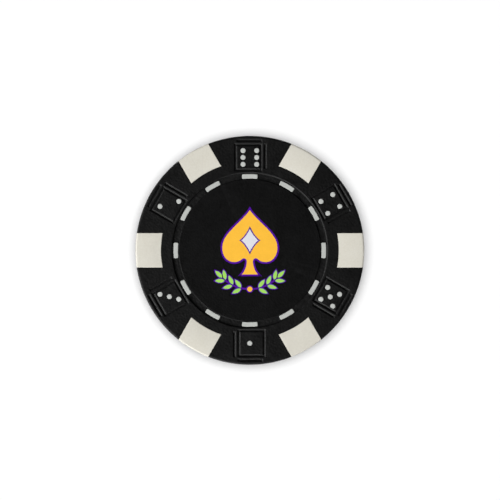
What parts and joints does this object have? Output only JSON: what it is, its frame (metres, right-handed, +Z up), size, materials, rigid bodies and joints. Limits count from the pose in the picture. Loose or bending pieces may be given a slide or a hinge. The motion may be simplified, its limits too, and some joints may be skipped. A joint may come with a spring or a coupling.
{
  "type": "game chip",
  "caption": "Round moulded gaming chip with a steel weight inside, cream edge spots, engraved dice with white pips, a ring of white dashes and a round label on each face.",
  "frame": {"origin": "middle of the chip on the plane that it lies on", "axes": "+Z up through the chip's thickness, out of the front face; +Y towards the six-pip die; +X to the right, towards an edge spot"},
  "size_m": [0.039, 0.039, 0.0033],
  "materials": {
    "black_plastic": "satin",
    "cream_plastic": "satin",
    "white_plastic": "matte",
    "label_film": "matte",
    "steel": "satin"
  },
  "bodies": {
    "root": {"chip_body": "black_plastic", "steel_slug": "steel", "edge_spot_1": "cream_plastic", "edge_spot_2": "cream_plastic", "edge_spot_3": "cream_plastic", "edge_spot_4": "cream_plastic", "edge_spot_5": "cream_plastic", "edge_spot_6": "cream_plastic", "front_label": "label_film", "back_label": "label_film", "front_dash_01": "white_plastic", "front_dash_02": "white_plastic", "front_dash_03": "white_plastic", "front_dash_04": "white_plastic", "front_dash_05": "white_plastic", "front_dash_06": "white_plastic", "front_dash_07": "white_plastic", "front_dash_08": "white_plastic", "front_dash_09": "white_plastic", "front_dash_10": "white_plastic", "front_dash_11": "white_plastic", "front_dash_12": "white_plastic", "back_dash_01": "white_plastic", "back_dash_02": "white_plastic", "back_dash_03": "white_plastic", "back_dash_04": "white_plastic", "back_dash_05": "white_plastic", "back_dash_06": "white_plastic", "back_dash_07": "white_plastic", "back_dash_08": "white_plastic", "back_dash_09": "white_plastic", "back_dash_10": "white_plastic", "back_dash_11": "white_plastic", "back_dash_12": "white_plastic", "die1_pip_1": "white_plastic", "die2_pip_1": "white_plastic", "die2_pip_2": "white_plastic", "die3_pip_1": "white_plastic", "die3_pip_2": "white_plastic", "die3_pip_3": "white_plastic", "die4_pip_1": "white_plastic", "die4_pip_2": "white_plastic", "die4_pip_3": "white_plastic", "die4_pip_4": "white_plastic", "die5_pip_1": "white_plastic", "die5_pip_2": "white_plastic", "die5_pip_3": "white_plastic", "die5_pip_4": "white_plastic", "die5_pip_5": "white_plastic", "die6_pip_1": "white_plastic", "die6_pip_2": "white_plastic", "die6_pip_3": "white_plastic", "die6_pip_4": "white_plastic", "die6_pip_5": "white_plastic", "die6_pip_6": "white_plastic"}
  },
  "joints": []
}
